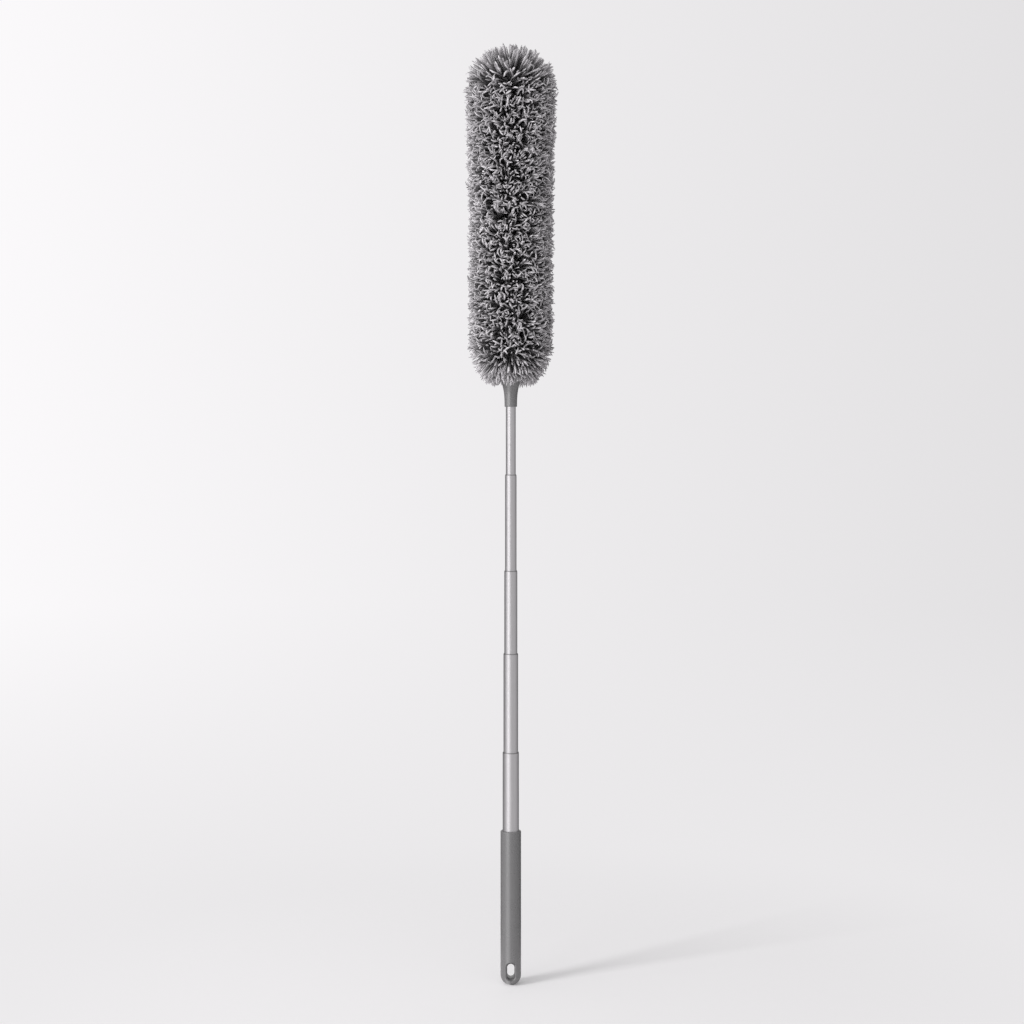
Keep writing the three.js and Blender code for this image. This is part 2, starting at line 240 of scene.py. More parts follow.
camera_away = -CAMERA_PLACE[1]
far_side = vector(tree, "ABSOLUTE", spot)
stood_back = number(tree, "ADD", parts(tree, far_side)["Y"], camera_away)
sight = add(tree, "CombineXYZ", {"X": parts(tree, spot)["X"], "Y": stood_back}).outputs[0]
wall_tone = place(tree, backdrop_tone, {"Direction": sight})["Tone"]
from_camera = number(tree, "ADD", measured(tree, "LENGTH", spot), camera_away)
nearness = number(tree, "DIVIDE", 1, from_camera)
flatter = between(tree, nearness, 0, 1, 1 / TONE_FAR, 1 / TONE_NEAR)
floor_tone = grey(FLOOR_TONE, PAPER_GREEN)
seen_tone = add(tree, "MixRGB", {0: flatter, 1: wall_tone, 2: floor_tone}).outputs[0]
mirrored_tone = place(tree, room_tone, {"Direction": spot})["Tone"]
far_tone = add(tree, "MixRGB", {0: rays["Is Glossy Ray"], 1: seen_tone, 2: mirrored_tone}).outputs[0]
far_floor = add(tree, "Emission", {"Color": far_tone}).outputs[0]
print("even floor tone", FLOOR_TONE, "up to", TONE_NEAR, "m from the camera")

# %% Where the floor fades
FADE_START, FADE_END = 0.15, 0.75
SLOWER_ASIDE = 0.9
SOONER_IN_STEEL = 3

squeezed = vector(tree, "MULTIPLY", spot, (SLOWER_ASIDE, 1, 1))
away = measured(tree, "LENGTH", squeezed)
hurry = between(tree, rays["Is Glossy Ray"], 1, SOONER_IN_STEEL, 0, 1)
fade = eased(tree, number(tree, "MULTIPLY", away, hurry), FADE_START, FADE_END)
shown = number(tree, "MAXIMUM", rays["Is Camera Ray"], rays["Is Glossy Ray"])
shown = number(tree, "MAXIMUM", shown, rays["Is Transmission Ray"])
share = number(tree, "MULTIPLY", fade, shown)
whole_floor = add(tree, "MixShader", {0: share, 1: near_floor, 2: far_floor}).outputs[0]
print("floor fades from", FADE_START, "to", FADE_END, "m")

# %% The soft box painted into the floor as a reflection
STRIPE_TURN = 33
STRIPE_IN_FLOOR = 0.8
STRIPE_EDGE = 0.88

stripe_angle = math.radians(STRIPE_TURN)
to_stripe = (-math.sin(stripe_angle), -math.cos(stripe_angle), 0)
# A painted reflection: the floor glows for mirror rays in the soft box's direction.
from_pole = vector(tree, "NORMALIZE", spot)
facing = measured(tree, "DOT_PRODUCT", from_pole, to_stripe)
painted_stripe_share = between(tree, facing, 0, STRIPE_IN_FLOOR, STRIPE_EDGE, 1)
painted_reflection = number(tree, "MULTIPLY", painted_stripe_share, rays["Is Glossy Ray"])
stripe = add(tree, "Emission", {"Color": grey(1), "Strength": painted_reflection}).outputs[0]
surface = add(tree, "AddShader", {0: whole_floor, 1: stripe}).outputs[0]
add(tree, "OutputMaterial", {"Surface": surface})
print("stripe mirrored", STRIPE_TURN, "degrees to the left")

# %% Floor disc
FLOOR_RADIUS = 60
FLOOR_SIDES = 96

disc = bmesh.new()
bmesh.ops.create_circle(disc, cap_ends=True, segments=FLOOR_SIDES, radius=FLOOR_RADIUS)
floor_mesh = bpy.data.meshes.new("floor")
disc.to_mesh(floor_mesh)
disc.free()
floor_mesh.materials.append(floor_paint)
floor = bpy.data.objects.new("floor", floor_mesh)
scene.collection.objects.link(floor)
print("floor radius", FLOOR_RADIUS, "m")

# %% [markdown]
# ## Light
# Polished steel shows the room around it. The room is grey ahead, and it grows darker towards the
# back, which draws the dark edges of the tubes. A glow straight behind gives the steel a streak when
# it is seen from the back. A bright ceiling lights the floor and the top of the pile, and the room
# gives less light from the right, so that the pile's right flank lies in shade. A tall soft box on
# the left makes the bright stripe along the pole, and a dimmer one beside it lets the stripe fade
# softly. A lamp further off throws the shadow, and stays out of the reflections.

# %% World
CEILING = 0.25
CEILING_START, CEILING_FULL = 0.35, 0.8
RIGHT_KEPT = 0.25
RIGHT_FULL = 0.7

world = bpy.data.worlds.new("studio")
scene.world = world
world.use_nodes = True
tree = world.node_tree
tree.nodes.clear()
direction = add(tree, "TexCoord").outputs["Generated"]
rays = add(tree, "LightPath").outputs
above = eased(tree, parts(tree, direction)["Z"], CEILING_START, CEILING_FULL, CEILING)
room = vector(tree, "ADD", place(tree, room_tone, {"Direction": direction})["Tone"], above)
kept = between(tree, parts(tree, direction)["X"], 1, RIGHT_KEPT, 0, RIGHT_FULL)
kept = between(tree, rays["Is Diffuse Ray"], 1, kept, 0, 1)
room_light = add(tree, "Background", {"Color": vector(tree, "MULTIPLY", room, kept)}).outputs[0]
seen = place(tree, backdrop_tone, {"Direction": direction})["Tone"]
seen_light = add(tree, "Background", {"Color": seen}).outputs[0]
mixed = add(tree, "MixShader", {0: rays["Is Camera Ray"], 1: room_light, 2: seen_light}).outputs[0]
add(tree, "OutputWorld", {"Surface": mixed})
print("ceiling adds", CEILING, "and the right keeps", RIGHT_KEPT)

# %% Soft boxes
LAMP_AIM = Vector((0, 0, 0.55))


def soft_box(name, turn, distance, height, width, tall, watts):
    box = bpy.data.lights.new(name, "AREA")
    box.shape = "RECTANGLE"
    box.size = width
    box.size_y = tall
    box.energy = watts
    lamp = bpy.data.objects.new(name, box)
    angle = math.radians(turn)
    lamp.location = (-distance * math.sin(angle), -distance * math.cos(angle), height)
    lamp.rotation_euler = (LAMP_AIM - lamp.location).to_track_quat("-Z", "Y").to_euler()
    scene.collection.objects.link(lamp)
    return lamp


soft_box("stripe_box", turn=STRIPE_TURN, distance=3.0, height=1.0, width=1.05, tall=2.5, watts=9.0)
soft_box("side_box", turn=60, distance=3.6, height=1.5, width=2.25, tall=2.7, watts=15.8)
shadow_lamp = soft_box(
    "shadow_lamp", turn=57, distance=6.0, height=3.5, width=1.5, tall=1.5, watts=192
)
shadow_lamp.visible_glossy = False
print("soft boxes:", ", ".join(lamp.name for lamp in bpy.data.lights))

# %% [markdown]
# ## Shared effects
# Moulded plastic and drawn metal have surfaces that are never quite even. Three groups make these
# from noise on object coordinates: the grain of a spark-eroded mould, the fine lines that a drawing
# die leaves along a tube, and the rub marks of hands and use, which change only the shine.

# %% Mould grain
GRAIN_FINE, GRAIN_BROAD = 2200, 60

mould_grain, entry, leave = new_group(
    "mould_grain", {"Scale": ("Float", GRAIN_FINE)}, {"Shade": "Float", "Height": "Float"}
)
spot = add(mould_grain, "TexCoord").outputs["Object"]
fine = add(mould_grain, "TexNoise", {"Vector": spot, "Scale": entry["Scale"], "Detail": 3}).outputs[0]
broad = add(mould_grain, "TexNoise", {"Vector": spot, "Scale": GRAIN_BROAD, "Detail": 4}).outputs[0]
half = number(mould_grain, "MULTIPLY", number(mould_grain, "ADD", fine, broad), 0.5)
mould_grain.links.new(half, leave["Shade"])
mould_grain.links.new(fine, leave["Height"])
print("mould grain of scale", GRAIN_FINE)

# %% Drawn lines and rub marks
LINE_FINENESS = 3200
LINE_STRETCH = 0.012
RUB_SCALE = 45

drawn_lines, entry, leave = new_group(
    "drawn_lines", {"Fineness": ("Float", LINE_FINENESS)}, {"Line": "Float"}
)
spot = add(drawn_lines, "TexCoord").outputs["Object"]
stretched = vector(drawn_lines, "MULTIPLY", spot, (1, 1, LINE_STRETCH))
lines = add(drawn_lines, "TexNoise", {
    "Vector": stretched, "Scale": entry["Fineness"], "Detail": 2,
})
drawn_lines.links.new(lines.outputs[0], leave["Line"])

rub_marks, entry, leave = new_group("rub_marks", {"Scale": ("Float", RUB_SCALE)}, {"Rub": "Float"})
spot = add(rub_marks, "TexCoord").outputs["Object"]
smear = add(rub_marks, "TexNoise", {
    "Vector": spot, "Scale": entry["Scale"], "Detail": 5, "Roughness": 0.62, "Distortion": 0.6,
})
rub_marks.links.new(smear.outputs[0], leave["Rub"])
print("groups:", ", ".join(group.name for group in bpy.data.node_groups))

# %% [markdown]
# ## Moulded plastic
# The grip and the neck are satin mid-grey mouldings. A plain grey would look like paint, so the
# grain group breaks up the colour a little and dents the surface, the rub group varies the shine,
# and a faint ridge up the left and right flanks marks where the two halves of the mould met. The
# greys that show lean a little towards rose, so their green is a little weaker.

# %% Material helpers
def new_material(name, **constants):
    made = bpy.data.materials.new(name)
    made.use_nodes = True
    surface = made.node_tree.nodes["Principled BSDF"]
    for socket, value in constants.items():
        surface.inputs[socket.replace("_", " ")].default_value = value
    return made, made.node_tree, surface


def dented(tree, surface, height, depth):
    bump = add(tree, "Bump", {"Height": height, "Distance": depth, "Strength": 1.0})
    tree.links.new(bump.outputs[0], surface.inputs["Normal"])


print("material helpers ready")

# %% Moulded plastic
ROSY = 0.97
GRAIN_SHADE = 0.06
GRAIN_DEPTH = 0.005 * MM
RUB_ON_PLASTIC = 0.04
SEAM_HALF_WIDTH = 0.12 * MM
SEAM_RIDGE = 1.2


def moulded_plastic(name, tone, roughness, seam):
    made, tree, surface = new_material(name, IOR=1.7, Specular_IOR_Level=1.0)
    grain = place(tree, mould_grain)
    rub = place(tree, rub_marks)["Rub"]
    dark, light = grey(tone * (1 - GRAIN_SHADE), ROSY), grey(tone * (1 + GRAIN_SHADE), ROSY)
    colour = ramp(tree, grain["Shade"], (0.3, dark), (0.7, light))
    tree.links.new(colour, surface.inputs["Base Color"])
    shine = between(tree, rub, roughness - RUB_ON_PLASTIC, roughness + RUB_ON_PLASTIC)
    tree.links.new(shine, surface.inputs["Roughness"])
    height = grain["Height"]
    if seam:
        spot = add(tree, "TexCoord").outputs["Object"]
        off_seam = number(tree, "ABSOLUTE", parts(tree, spot)["Y"])
        ridge = between(tree, off_seam, SEAM_RIDGE, 0, 0, SEAM_HALF_WIDTH)
        height = number(tree, "ADD", height, ridge)
    dented(tree, surface, height, GRAIN_DEPTH)
    return made


grip_plastic = moulded_plastic("grip_plastic", tone=0.158, roughness=0.28, seam=True)
inner_plastic = moulded_plastic("inner_plastic", tone=0.05, roughness=0.5, seam=False)
print("plastics:", grip_plastic.name, inner_plastic.name)

# %% [markdown]
# ## Drawn metal
# The tubes are drawn steel with a soft polish: bright, but with fine lines along their length that
# blur the reflections sideways. The lines could be a picture wrapped round the tube, but noise that
# is stretched along the axis shows no seam. A number on the points of a tube marks its rolled edge,
# where the colour is darkened as painted shade for the narrow gap between the tubes. The friction
# shells inside are brass strip, drawn the same way.

# %% Drawn metal
# How dark the painted shade of the gap on a tube's rolled edge is.
EDGE_SHADE = 0.45
RUB_ON_METAL = 28
RUB_POLISH, LINE_POLISH = 0.015, 0.02
LINE_DEPTH = 0.001 * MM
BRASS_DARK, BRASS_LIGHT = (0.50, 0.33, 0.11, 1), (0.64, 0.45, 0.17, 1)


def drawn_metal(name, dark, light, roughness, fineness):
    made, tree, surface = new_material(name, Metallic=1.0)
    line = place(tree, drawn_lines, {"Fineness": fineness})["Line"]
    rub = place(tree, rub_marks, {"Scale": RUB_ON_METAL})["Rub"]
    # The rolled edge is darkened: painted shade for the gap at the tube's mouth.
    rolled = add(tree, "Attribute", attribute_name="rolled").outputs["Fac"]
    painted_gap_shade = between(tree, rolled, 1, EDGE_SHADE, 0, 1)
    colour = vector(tree, "MULTIPLY", ramp(tree, line, (0.3, dark), (0.7, light)), painted_gap_shade)
    tree.links.new(colour, surface.inputs["Base Color"])
    smooth = between(tree, rub, roughness - RUB_POLISH, roughness + RUB_POLISH)
    lined = between(tree, line, -LINE_POLISH, LINE_POLISH)
    tree.links.new(number(tree, "ADD", smooth, lined), surface.inputs["Roughness"])
    dented(tree, surface, line, LINE_DEPTH)
    return made


tube_steel = drawn_metal(
    "tube_steel", grey(0.68, ROSY), grey(0.76, ROSY), roughness=0.40, fineness=LINE_FINENESS
)
shell_brass = drawn_metal("shell_brass", BRASS_DARK, BRASS_LIGHT, roughness=0.34, fineness=2400)
print("metals:", tube_steel.name, shell_brass.name)

# %% [markdown]
# ## Turned pieces
# Tubes, grip, neck and cap are all round, so each is one outline spun about the pole's axis. The
# outline is a chain of points, radius and height, and spin sweeps it round in many small steps, so
# the steel stays smooth where the CAD solids have flat facets. An outline that starts and ends on
# the axis stays open, and its poles close when the doubled points are merged. A last helper gives a
# piece its material, the body that it rides on and the CAD nodes that it stands for.

# %% Finishing a shape
SMOOTH_ANGLE = math.radians(32)


def finished(name, shape):
    mesh = bpy.data.meshes.new(name)
    shape.to_mesh(mesh)
    shape.free()
    mesh.shade_smooth()
    mesh.set_sharp_from_angle(angle=SMOOTH_ANGLE)
    made = bpy.data.objects.new(name, mesh)
    scene.collection.objects.link(made)
    return made


print("smooth up to", round(math.degrees(SMOOTH_ANGLE)), "degrees")

# %% Spinning an outline
TURN_STEPS = 128
MERGE_WITHIN = 1e-6


def spun(outline, closed, steps=TURN_STEPS):
    shape = bmesh.new()
    points = [shape.verts.new((radius, 0, height)) for radius, height in outline]
    ahead = points[1:] + points[:1] if closed else points[1:]
    edges = [shape.edges.new(pair) for pair in zip(points, ahead)]
    bmesh.ops.spin(shape, geom=points + edges, cent=(0, 0, 0), axis=(0, 0, 1),
                   angle=2 * math.pi, steps=steps, use_merge=True)
    bmesh.ops.remove_doubles(shape, verts=shape.verts, dist=MERGE_WITHIN)
    bmesh.ops.recalc_face_normals(shape, faces=shape.faces)
    return shape


def arc(centre_radius, centre_height, radius, start, end, steps):
    points = []
    for step in range(steps + 1):
        angle = math.radians(start + (end - start) * step / steps)
        out, up = radius * math.cos(angle), radius * math.sin(angle)
        points.append((centre_radius + out, centre_height + up))
    return points


print("turning in", TURN_STEPS, "steps")

# %% Putting a piece on its body
def carry(piece, body, slot, material, *nodes):
    piece.data.materials.clear()
    piece.data.materials.append(material)
    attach(piece, body)
    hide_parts(*nodes)
    print(piece.name, "rides on", body, "with", len(piece.data.polygons), "faces")


# %% [markdown]
# ## The five tubes
# Each tube is one skin of thin sheet. Its upper end is rolled inwards until it almost touches the
# next tube, and the fine dark line at every step of the pole is painted shade on that roll. Its foot
# is flared, with a rolled bead above, to hold the friction shells. A cylinder with a Solidify
# modifier would do for the straight part, but here roll, bead and flare are all in the outline that
# is spun. The inside is the same outline, set in by the thickness of the wall.

# %% Skin of a tube
TUBE_WALL = 0.4 * MM
TUBE_STEP = 0.925 * MM
MOUTH_HEIGHT = 2.4 * MM
MOUTH_GAP = 0.16 * MM
FLARE_HEIGHT = 1.4 * MM
BEAD_START = 21.7 * MM
BEAD_HEIGHT = 1.6 * MM
FOOT_RAISE = 0.285 * MM
ROLL_STEPS = 10


def tube_foot(radius, bottom):
    raised = radius + FOOT_RAISE
    foot = [(raised, bottom), (raised, bottom + FLARE_HEIGHT / 2)]
    foot += [(radius, bottom + FLARE_HEIGHT), (radius, bottom + BEAD_START)]
    for step in range(1, ROLL_STEPS):
        along = step / ROLL_STEPS
        swell = FOOT_RAISE * math.sin(math.pi * along) ** 2
        foot.append((radius + swell, bottom + BEAD_START + BEAD_HEIGHT * along))
    return foot + [(radius, bottom + BEAD_START + BEAD_HEIGHT)]


def tube_mouth(radius, top):
    rolled = radius - TUBE_STEP + MOUTH_GAP + TUBE_WALL
    mouth = []
    for step in range(ROLL_STEPS + 1):
        along = step / ROLL_STEPS
        inward = 1 - math.sqrt(1 - along ** 2)
        mouth.append((radius + (rolled - radius) * inward, top - MOUTH_HEIGHT * (1 - along)))
    return mouth


print("tube wall", TUBE_WALL / MM, "mm")

# %% Tubes
DARK_EDGE = 1.0 * MM
DARK_REACH = 1.5
TUBES = {
    "outer_tube": "handle",
    "second_tube": "second_stage",
    "third_tube": "third_stage",
    "fourth_tube": "fourth_stage",
    "tip_tube": "head",
}


# Marks the top of a tube's roll, where the painted gap shade goes.
def paint_gap_shade(tube, top, has_mouth):
    layer = tube.data.attributes.new("rolled", "FLOAT", "POINT")
    for vert, mark in zip(tube.data.vertices, layer.data):
        below = (top - vert.co.z) / DARK_EDGE
        mark.value = has_mouth * min(1, max(0, DARK_REACH - below))


outer_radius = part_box("outer_tube")[1].x
for number_inward, (node, body) in enumerate(TUBES.items()):
    low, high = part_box(node)
    tube_radius = outer_radius - number_inward * TUBE_STEP
    has_foot = number_inward > 0
    has_mouth = number_inward < len(TUBES) - 1
    skin = tube_foot(tube_radius, low.z) if has_foot else [(tube_radius, low.z)]
    skin += tube_mouth(tube_radius, high.z) if has_mouth else [(tube_radius, high.z)]
    bore = [(radius - TUBE_WALL, height) for radius, height in reversed(skin)]
    tube = finished("steel_" + node, spun(skin + bore, closed=True))
    paint_gap_shade(tube, high.z, has_mouth)
    carry(tube, body, "tube_steel", tube_steel, node)

# %% [markdown]
# ## The grip
# The grip is a long moulded sleeve with a domed butt, and a hanging slot runs through the butt. It
# could be cut from a cylinder by hand, but spinning the outline and taking the slot out with a
# Boolean keeps the wall and the dome exact. The cutter is a circle whose upper half is lifted into
# a slot shape, extruded through the grip, and spread at both ends to ease the mouths of the slot.

# %% Cutting one shape out of another
def cut(piece, cutter_shape):
    cutter = finished("cutter", cutter_shape)
    modifier = piece.modifiers.new("cut", "BOOLEAN")
    modifier.operation = "DIFFERENCE"
    modifier.solver = "EXACT"
    modifier.object = cutter
    bpy.context.view_layer.update()
    evaluated = piece.evaluated_get(bpy.context.evaluated_depsgraph_get())
    mesh = bpy.data.meshes.new_from_object(evaluated)
    uncut = piece.data
    piece.modifiers.clear()
    piece.data = mesh
    bpy.data.meshes.remove(uncut)
    bpy.data.objects.remove(cutter)
    mesh.name = piece.name
    mesh.shade_smooth()
    mesh.set_sharp_from_angle(angle=SMOOTH_ANGLE)


def block(width, depth, bottom, top):
    shape = bmesh.new()
    bmesh.ops.create_cube(shape, size=1)
    bmesh.ops.scale(shape, verts=shape.verts, vec=(width, depth, top - bottom))
    bmesh.ops.translate(shape, verts=shape.verts, vec=(0, 0, (bottom + top) / 2))
    return shape


print("cutting by exact Boolean")

# %% Drawing out a face in steps
def drawn_out(shape, face, moves):
    rings = [face.verts[:]]
    inner = []
    for move in moves:
        grown = bmesh.ops.extrude_face_region(shape, geom=[face])["geom"]
        if len(rings) > 1:
            inner.append(face)
        face = next(part for part in grown if isinstance(part, bmesh.types.BMFace))
        bmesh.ops.translate(shape, verts=face.verts[:], vec=move)
        rings.append(face.verts[:])
    bmesh.ops.delete(shape, geom=inner, context="FACES_ONLY")
    return rings, face


print("faces are drawn out by extrusion")

# %% Face of the slot
SLOT_WIDTH = 8.4 * MM
SLOT_HEIGHT = 18.6 * MM
SLOT_SIDES = 64


def slot_face():
    shape = bmesh.new()
    bmesh.ops.create_circle(shape, cap_ends=True, segments=SLOT_SIDES, radius=SLOT_WIDTH / 2)
    half_step = Matrix.Rotation(math.pi / SLOT_SIDES, 3, "Z")
    upright = Matrix.Rotation(math.pi / 2, 3, "X")
    bmesh.ops.rotate(shape, cent=(0, 0, 0), matrix=half_step, verts=shape.verts)
    bmesh.ops.rotate(shape, cent=(0, 0, 0), matrix=upright, verts=shape.verts)
    straight = SLOT_HEIGHT - SLOT_WIDTH
    upper = [vert for vert in shape.verts if vert.co.z > 0]
    bmesh.ops.translate(shape, verts=upper, vec=(0, 0, straight))
    bmesh.ops.translate(shape, verts=shape.verts, vec=(0, 0, -straight / 2))
    return shape


print("slot", SLOT_WIDTH / MM, "by", SLOT_HEIGHT / MM, "mm")

# %% Cutter for the slot
SLOT_BOTTOM = 7.2 * MM
SLOT_STRAIGHT = 8.4 * MM
SLOT_MOUTH = 12.6 * MM
MOUTH_SPREAD = Vector((5.6, 3.0)) * MM
MOUTH_CURVE = 1.35
MOUTH_STEPS = 10


def slot_cutter():
    shape = slot_face()
    flare = SLOT_MOUTH - SLOT_STRAIGHT
    stops = [SLOT_STRAIGHT + flare * step / MOUTH_STEPS for step in range(MOUTH_STEPS + 1)]
    stations = [-stop for stop in reversed(stops)] + stops
    bmesh.ops.translate(shape, verts=shape.verts, vec=(0, stations[0], 0))
    moves = [(0, ahead - here, 0) for here, ahead in zip(stations, stations[1:])]
    rings, _ = drawn_out(shape, shape.faces[:][0], moves)
    for ring, station in zip(rings, stations):
        open_share = max(0, abs(station) - SLOT_STRAIGHT) / flare
        spread = MOUTH_SPREAD * open_share ** MOUTH_CURVE
        wider = 1 + spread.x / (SLOT_WIDTH / 2)
        taller = 1 + spread.y / (SLOT_HEIGHT / 2)
        bmesh.ops.scale(shape, verts=ring, vec=(wider, 1, taller))
    bmesh.ops.translate(shape, verts=shape.verts, vec=(0, 0, SLOT_BOTTOM + SLOT_HEIGHT / 2))
    bmesh.ops.recalc_face_normals(shape, faces=shape.faces)
    return shape


print("mouths of the slot open by", MOUTH_SPREAD / MM, "mm")

# %% Grip
RIM_ROUND = 1.2 * MM
LIP_ROUND = RIM_ROUND / 3
BUTT_FLAT = 3.8 * MM
SOCKET_PLAY = 0.1 * MM
SOCKET_FLOOR = 34.8 * MM
RINGS_AT_SLOT = 24

grip_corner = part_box("grip")[1]
grip_radius, grip_top = grip_corner.x, grip_corner.z
socket_radius = outer_radius + SOCKET_PLAY
dome_centre = math.sqrt(grip_radius ** 2 - BUTT_FLAT ** 2)
dome_start = -math.degrees(math.asin(dome_centre / grip_radius))
slot_zone = SLOT_BOTTOM + SLOT_HEIGHT + MOUTH_SPREAD.y * 2 - dome_centre
outline = [(0, 0)] + arc(0, dome_centre, grip_radius, dome_start, 0, steps=20)
for ring in range(1, RINGS_AT_SLOT + 1):
    outline.append((grip_radius, dome_centre + slot_zone * ring / RINGS_AT_SLOT))
outline += arc(grip_radius - RIM_ROUND, grip_top - RIM_ROUND, RIM_ROUND, 0, 90, steps=8)
outline += arc(socket_radius + LIP_ROUND, grip_top - LIP_ROUND, LIP_ROUND, 90, 180, steps=4)
outline += [(socket_radius, SOCKET_FLOOR), (0, SOCKET_FLOOR)]
grip = finished("moulded_grip", spun(outline, closed=False))
cut(grip, slot_cutter())
carry(grip, "handle", "grip_plastic", grip_plastic, "grip")

# %% [markdown]
# ## The neck
# A trumpet-shaped moulding joins the thin tip tube to the wide head. Its flare is one smooth curve
# that leaves the foot upright and turns outward under the pile. It has a socket for the tube below
# and a cup for the foam above, so one outline with both is spun, and then cut for the spine.

# %% Flare of the neck
NECK_FOOT = 7.3 * MM
NECK_FLARE_PULL = 24 * MM
NECK_FLARE_HEIGHT = 40 * MM
NECK_FLARE_TURN = 2.6
FLARE_STEPS = 28

low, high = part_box("neck")
neck_bottom, neck_top, core_radius = low.z, high.z, high.x


def flare_point(share):
    radius = NECK_FOOT + (core_radius - NECK_FOOT) * share ** NECK_FLARE_TURN
    pull, rim = 2 * share * (1 - share), share ** 2
    return radius, neck_bottom + pull * NECK_FLARE_PULL + rim * NECK_FLARE_HEIGHT


flare = [flare_point(step / FLARE_STEPS) for step in range(FLARE_STEPS + 1)]
print("neck flares to", round(core_radius / MM, 1), "mm")

# %% Neck
NECK_CUP_FLOOR = 38 * MM
NECK_CUP_TAPER = 44 * MM
NECK_CUP_FOOT = 12.6 * MM
NECK_CUP_WALL = 2 * MM
NECK_SOCKET_TOP = 24.3 * MM
SPINE_POCKET = 28 * MM
SPINE_HOLE = (14.6 * MM, 3.6 * MM)
EDGE_ROUND = 0.5 * MM

neck_socket = outer_radius - (len(TUBES) - 1) * TUBE_STEP + SOCKET_PLAY
cup = core_radius - NECK_CUP_WALL
outline = [(0, neck_bottom + NECK_SOCKET_TOP), (neck_socket, neck_bottom + NECK_SOCKET_TOP)]
outline += arc(neck_socket + EDGE_ROUND, neck_bottom + EDGE_ROUND, EDGE_ROUND, 180, 270, steps=4)
outline += arc(NECK_FOOT - EDGE_ROUND, neck_bottom + EDGE_ROUND, EDGE_ROUND, 270, 360, steps=4)
outline += flare[1:]
outline += arc(core_radius - EDGE_ROUND, neck_top - EDGE_ROUND, EDGE_ROUND, 0, 90, steps=4)
outline += [(cup, neck_top), (cup, neck_bottom + NECK_CUP_TAPER)]
outline += [(NECK_CUP_FOOT, neck_bottom + NECK_CUP_FLOOR), (0, neck_bottom + NECK_CUP_FLOOR)]
neck = finished("moulded_neck", spun(outline, closed=False))
cut(neck, block(*SPINE_HOLE, neck_bottom + SPINE_POCKET, neck_bottom + NECK_CUP_FLOOR + MM))
carry(neck, "head", "grip_plastic", grip_plastic, "neck")

# %% [markdown]
# ## The core of the head
# Under the cover a sleeve of soft foam goes round a flat bendable spine, and a domed cap closes the
# top. They come into view when the cover is pulled off for washing. Foam is soft, so its long side
# is not a perfect cylinder: a slow swell runs along it, and its surface is open cells. The swell could
# be sculpted, but as a wave in the outline it is there when the foam is spun.

# %% Foam material
CELL_SCALE, CLOUD_SCALE = 900, 70
CELL_DEPTH = 0.25 * MM


def cell_foam(name, dark, light):
    made, tree, surface = new_material(name, Roughness=0.95)
    spot = add(tree, "TexCoord").outputs["Object"]
    cells = add(tree, "TexVoronoi", {"Vector": spot, "Scale": CELL_SCALE}, feature="F1")
    cells = cells.outputs["Distance"]
    cloudy = add(tree, "TexNoise", {"Vector": spot, "Scale": CLOUD_SCALE, "Detail": 4}).outputs[0]
    shade = number(tree, "MULTIPLY", cells, cloudy)
    tree.links.new(ramp(tree, shade, (0.05, dark), (0.45, light)), surface.inputs["Base Color"])
    dented(tree, surface, cells, CELL_DEPTH)
    return made


core_foam = cell_foam("core_foam", grey(0.025), grey(0.11))
print("foam:", core_foam.name)

# %% Foam sleeve
FOAM_RINGS = 60
FOAM_EDGE = 2.5 * MM
FOAM_PLAY = 0.3 * MM
FOAM_SWELL = 0.18 * MM
FOAM_SWELLS = 6

low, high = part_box("core_foam")
foam_bottom, foam_top = low.z, high.z
foam_cup = cup - FOAM_PLAY
foam_low = neck_top + FOAM_PLAY
outline = [(0, foam_bottom), (NECK_CUP_FOOT - FOAM_PLAY, foam_bottom)]
outline += [(foam_cup, neck_bottom + NECK_CUP_TAPER), (foam_cup, foam_low)]
outline += arc(core_radius - FOAM_EDGE, foam_low + FOAM_EDGE, FOAM_EDGE, 270, 360, steps=5)
foam_side = foam_top - foam_low - 2 * FOAM_EDGE
for ring in range(1, FOAM_RINGS):
    slack = FOAM_SWELL * (1 - math.cos(2 * math.pi * FOAM_SWELLS * ring / FOAM_RINGS))
    outline.append((core_radius - slack, foam_low + FOAM_EDGE + foam_side * ring / FOAM_RINGS))
outline += arc(core_radius - FOAM_EDGE, foam_top - FOAM_EDGE, FOAM_EDGE, 0, 90, steps=5)
outline += [(0, foam_top)]
foam = finished("foam_sleeve", spun(outline, closed=False))
cut(foam, block(*SPINE_HOLE, foam_bottom - MM, foam_top + MM))
carry(foam, "head", "core_foam", core_foam, "core_foam")

# %% Tip cap
CAP_EDGE = 0.8 * MM
CAP_POCKET = 10 * MM

low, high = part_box("tip_cap")
cap_bottom = low.z
outline = [(0, cap_bottom)]
outline += arc(core_radius - CAP_EDGE, cap_bottom + CAP_EDGE, CAP_EDGE, 270, 350, steps=5)
outline += arc(0, cap_bottom, core_radius, 5, 90, steps=24)[:-1] + [(0, high.z)]
cap = finished("domed_cap", spun(outline, closed=False))
cut(cap, block(*SPINE_HOLE, cap_bottom - MM, cap_bottom + CAP_POCKET))
carry(cap, "head", "inner_plastic", inner_plastic, "tip_cap")

# %% [markdown]
# ## The cover's backing
# The cover is a knitted tube, closed in a dome at the crown, with a turned hem that holds an elastic
# and lies round the neck. It is a thin cloth, a sheet that is stretched over the core.
# Stretched tight it takes the core's own shape, so it is spun and needs no simulation. Its stitches
# are two crossed waves: rows up the height and columns round the girth. The elastic gathers the hem,
# so a ring of small folds runs round it.

# %% Knit
KNIT_ROW, KNIT_COLUMNS = 1.6 * MM, 64
KNIT_DEPTH = 0.3 * MM

